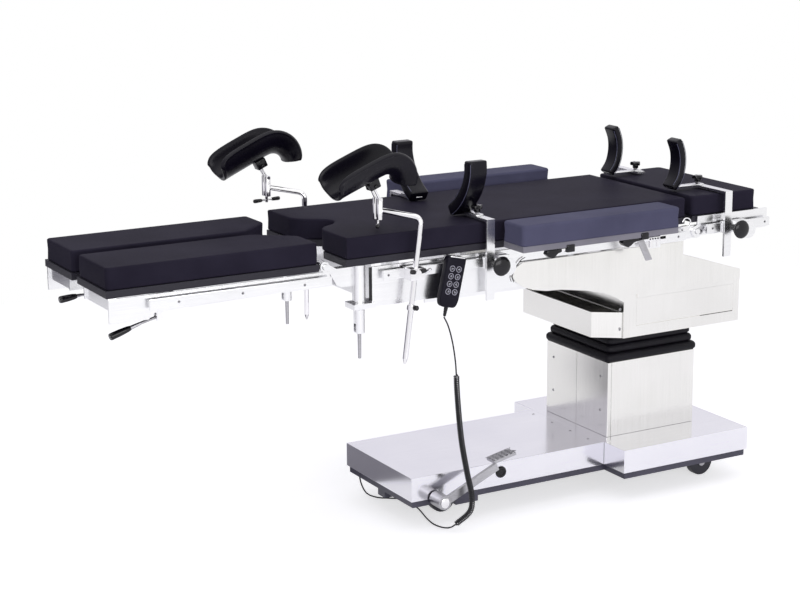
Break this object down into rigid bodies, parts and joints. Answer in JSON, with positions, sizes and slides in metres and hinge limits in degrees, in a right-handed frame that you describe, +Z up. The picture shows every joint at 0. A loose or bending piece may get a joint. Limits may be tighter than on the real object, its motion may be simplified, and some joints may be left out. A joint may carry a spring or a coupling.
{
  "type": "operating table",
  "caption": "Operating table with a padded carbon fiber top, split folding leg sections, sliding and tilting housing, lifting column, wheeled base and clamped patient supports.",
  "frame": {"origin": "on the floor, under the middle of the box round everything but the cord", "axes": "+X along the table to the head end, +Z up, -Y the side with the pedal and the handset"},
  "size_m": [2.2018, 0.8088, 1.1556],
  "materials": {
    "stainless": "brushed stainless sheet",
    "steel": "machined steel",
    "chrome": "polished",
    "cast_base": "dark blue-grey enamel",
    "bellows": "folded rubberised cloth",
    "wheel": "black",
    "board": "dark grey laminate",
    "padding": "seamless dark upholstery over foam",
    "support_padding": "moulded black polyurethane foam",
    "moulded": "black",
    "cord": "black jacket"
  },
  "bodies": {
    "base": {"base_chassis": "cast_base", "base_cover_foot": "stainless", "base_cover_head": "stainless", "column_cover": "stainless", "cord_low": "cord"},
    "pedal": {"brake_pedal": "stainless"},
    "mast": {"lift_ram": "steel", "bellows": "bellows", "curly_cord": "cord"},
    "cross": {"tilt_cross": "steel"},
    "housing": {"upper_housing": "stainless", "housing_tray": "stainless"},
    "table_top": {"main_frame": "stainless", "main_board": "board", "main_pad": "padding", "arm_clamp_near": "stainless", "arm_clamp_far": "stainless", "handset": "moulded", "cord_top": "cord"},
    "head_section": {"head_frame": "stainless", "head_board": "board", "head_pad": "padding"},
    "caster_head_near": {"caster_fork_head_near": "cast_base"},
    "wheel_head_near": {"caster_wheel_head_near": "wheel"},
    "caster_head_far": {"caster_fork_head_far": "cast_base"},
    "wheel_head_far": {"caster_wheel_head_far": "wheel"},
    "caster_foot_near": {"caster_fork_foot_near": "cast_base"},
    "wheel_foot_near": {"caster_wheel_foot_near": "wheel"},
    "caster_foot_far": {"caster_fork_foot_far": "cast_base"},
    "wheel_foot_far": {"caster_wheel_foot_far": "wheel"},
    "leg_swing_near": {"leg_bracket_near": "steel"},
    "release_near": {"release_lever_near": "chrome"},
    "leg_near": {"leg_frame_near": "stainless", "leg_board_near": "board", "leg_pad_near": "padding"},
    "leg_grip_near": {"leg_lever_near": "moulded"},
    "support_clamp_near": {"support_clamp_near": "chrome"},
    "support_post_near": {"support_post_near": "chrome"},
    "trough_near": {"leg_trough_near": "support_padding"},
    "lateral_bar_near": {"lateral_bar_near": "stainless"},
    "lateral_pad_near": {"lateral_pad_near": "support_padding"},
    "shoulder_bar_near": {"shoulder_bar_near": "stainless"},
    "shoulder_pad_near": {"shoulder_pad_near": "support_padding"},
    "arm_rest_near": {"arm_board_near": "board", "arm_pad_near": "padding"},
    "leg_swing_far": {"leg_bracket_far": "steel"},
    "release_far": {"release_lever_far": "chrome"},
    "leg_far": {"leg_frame_far": "stainless", "leg_board_far": "board", "leg_pad_far": "padding"},
    "leg_grip_far": {"leg_lever_far": "moulded"},
    "support_clamp_far": {"support_clamp_far": "chrome"},
    "support_post_far": {"support_post_far": "chrome"},
    "trough_far": {"leg_trough_far": "support_padding"},
    "lateral_bar_far": {"lateral_bar_far": "stainless"},
    "lateral_pad_far": {"lateral_pad_far": "support_padding"},
    "shoulder_bar_far": {"shoulder_bar_far": "stainless"},
    "shoulder_pad_far": {"shoulder_pad_far": "support_padding"},
    "arm_rest_far": {"arm_board_far": "board", "arm_pad_far": "padding"}
  },
  "joints": [
    {"name": "brake_press", "type": "hinge", "parent": "base", "child": "pedal", "pos_m": [-0.07812, -0.24145, 0.098], "axis": [0, 1, 0], "range_deg": [0, 25]},
    {"name": "lift", "type": "slide", "parent": "base", "child": "mast", "axis": [0, 0, 1], "range_m": [0, 0.22], "deforming": ["bellows", "curly_cord"]},
    {"name": "long_tilt", "type": "hinge", "parent": "mast", "child": "cross", "pos_m": [0.73288, -0.00645, 0.56], "axis": [0, 1, 0], "range_deg": [-18, 18]},
    {"name": "side_tilt", "type": "hinge", "parent": "cross", "child": "housing", "pos_m": [0.73288, -0.00645, 0.56], "axis": [1, 0, 0], "range_deg": [-12, 12]},
    {"name": "top_slide", "type": "slide", "parent": "housing", "child": "table_top", "axis": [1, 0, 0], "range_m": [0, 0.3]},
    {"name": "head_fold", "type": "hinge", "parent": "table_top", "child": "head_section", "pos_m": [0.82788, -0.00645, 0.81], "axis": [0, 1, 0], "range_deg": [0, 25]},
    {"name": "swivel_head_near", "type": "hinge", "parent": "base", "child": "caster_head_near", "pos_m": [0.91988, -0.20645, 0.1], "axis": [0, 0, 1], "continuous": true},
    {"name": "roll_head_near", "type": "hinge", "parent": "caster_head_near", "child": "wheel_head_near", "pos_m": [0.90588, -0.20645, 0.042], "axis": [0, 1, 0], "continuous": true},
    {"name": "swivel_head_far", "type": "hinge", "parent": "base", "child": "caster_head_far", "pos_m": [0.91988, 0.19355, 0.1], "axis": [0, 0, 1], "continuous": true},
    {"name": "roll_head_far", "type": "hinge", "parent": "caster_head_far", "child": "wheel_head_far", "pos_m": [0.90588, 0.19355, 0.042], "axis": [0, 1, 0], "continuous": true},
    {"name": "swivel_foot_near", "type": "hinge", "parent": "base", "child": "caster_foot_near", "pos_m": [0.03188, -0.08245, 0.1], "axis": [0, 0, 1], "continuous": true},
    {"name": "roll_foot_near", "type": "hinge", "parent": "caster_foot_near", "child": "wheel_foot_near", "pos_m": [0.01788, -0.08245, 0.042], "axis": [0, 1, 0], "continuous": true},
    {"name": "swivel_foot_far", "type": "hinge", "parent": "base", "child": "caster_foot_far", "pos_m": [0.03188, 0.06955, 0.1], "axis": [0, 0, 1], "continuous": true},
    {"name": "roll_foot_far", "type": "hinge", "parent": "caster_foot_far", "child": "wheel_foot_far", "pos_m": [0.01788, 0.06955, 0.042], "axis": [0, 1, 0], "continuous": true},
    {"name": "leg_spread_near", "type": "hinge", "parent": "table_top", "child": "leg_swing_near", "pos_m": [-0.33712, -0.23545, 0.722], "axis": [0, 0, 1], "range_deg": [0, 90]},
    {"name": "release_near", "type": "hinge", "parent": "leg_swing_near", "child": "release_near", "pos_m": [-0.33712, -0.23545, 0.652], "axis": [0, 1, 0], "range_deg": [-20, 20], "stiffness_Nm_per_rad": 1.5},
    {"name": "leg_fold_near", "type": "hinge", "parent": "leg_swing_near", "child": "leg_near", "pos_m": [-0.44512, -0.23545, 0.842], "axis": [0, 1, 0], "range_deg": [-90, 15]},
    {"name": "leg_grip_near", "type": "hinge", "parent": "leg_near", "child": "leg_grip_near", "pos_m": [-0.91812, -0.18645, 0.752], "axis": [0, 1, 0], "range_deg": [0, 12], "stiffness_Nm_per_rad": 4},
    {"name": "support_rail_slide_near", "type": "slide", "parent": "table_top", "child": "support_clamp_near", "axis": [1, 0, 0], "range_m": [-0.05, 0.03]},
    {"name": "support_height_near", "type": "slide", "parent": "support_clamp_near", "child": "support_post_near", "axis": [0.1357, 0, 0.9907], "range_m": [0, 0.06]},
    {"name": "trough_tilt_near", "type": "hinge", "parent": "support_post_near", "child": "trough_near", "pos_m": [-0.25312, -0.19745, 1.006], "axis": [-0.0698, 0.9976, 0], "range_deg": [-15, 15]},
    {"name": "lateral_rail_slide_near", "type": "slide", "parent": "table_top", "child": "lateral_bar_near", "axis": [1, 0, 0], "range_m": [-0.06, 0]},
    {"name": "lateral_pad_slide_near", "type": "slide", "parent": "lateral_bar_near", "child": "lateral_pad_near", "axis": [0, 1, 0], "range_m": [-0.006, 0.06]},
    {"name": "shoulder_rail_slide_near", "type": "slide", "parent": "head_section", "child": "shoulder_bar_near", "axis": [1, 0, 0], "range_m": [-0.03, 0.06]},
    {"name": "shoulder_pad_slide_near", "type": "slide", "parent": "shoulder_bar_near", "child": "shoulder_pad_near", "axis": [1, 0, 0], "range_m": [-0.015, 0.05]},
    {"name": "arm_rest_swing_near", "type": "hinge", "parent": "table_top", "child": "arm_rest_near", "pos_m": [0.62988, -0.29495, 0.835], "axis": [0, 0, 1], "range_deg": [0, 90]},
    {"name": "leg_spread_far", "type": "hinge", "parent": "table_top", "child": "leg_swing_far", "pos_m": [-0.33712, 0.22255, 0.722], "axis": [0, 0, 1], "range_deg": [-90, 0]},
    {"name": "release_far", "type": "hinge", "parent": "leg_swing_far", "child": "release_far", "pos_m": [-0.33712, 0.22255, 0.652], "axis": [0, 1, 0], "range_deg": [-20, 20], "stiffness_Nm_per_rad": 1.5},
    {"name": "leg_fold_far", "type": "hinge", "parent": "leg_swing_far", "child": "leg_far", "pos_m": [-0.44512, 0.22255, 0.842], "axis": [0, 1, 0], "range_deg": [-90, 15]},
    {"name": "leg_grip_far", "type": "hinge", "parent": "leg_far", "child": "leg_grip_far", "pos_m": [-0.95812, 0.07355, 0.77], "axis": [0, 1, 0], "range_deg": [0, 6], "stiffness_Nm_per_rad": 4},
    {"name": "support_rail_slide_far", "type": "slide", "parent": "table_top", "child": "support_clamp_far", "axis": [1, 0, 0], "range_m": [0, 0.08]},
    {"name": "support_height_far", "type": "slide", "parent": "support_clamp_far", "child": "support_post_far", "axis": [0, 0, 1], "range_m": [0, 0.06]},
    {"name": "trough_tilt_far", "type": "hinge", "parent": "support_post_far", "child": "trough_far", "pos_m": [-0.33912, 0.34255, 0.997], "axis": [0, 1, 0], "range_deg": [-15, 15]},
    {"name": "lateral_rail_slide_far", "type": "slide", "parent": "table_top", "child": "lateral_bar_far", "axis": [1, 0, 0], "range_m": [-0.06, 0]},
    {"name": "lateral_pad_slide_far", "type": "slide", "parent": "lateral_bar_far", "child": "lateral_pad_far", "axis": [0, -1, 0], "range_m": [-0.006, 0.06]},
    {"name": "shoulder_rail_slide_far", "type": "slide", "parent": "head_section", "child": "shoulder_bar_far", "axis": [1, 0, 0], "range_m": [-0.03, 0.06]},
    {"name": "shoulder_pad_slide_far", "type": "slide", "parent": "shoulder_bar_far", "child": "shoulder_pad_far", "axis": [1, 0, 0], "range_m": [-0.015, 0.05]},
    {"name": "arm_rest_swing_far", "type": "hinge", "parent": "table_top", "child": "arm_rest_far", "pos_m": [0.62988, 0.28205, 0.835], "axis": [0, 0, 1], "range_deg": [-90, 0]}
  ]
}
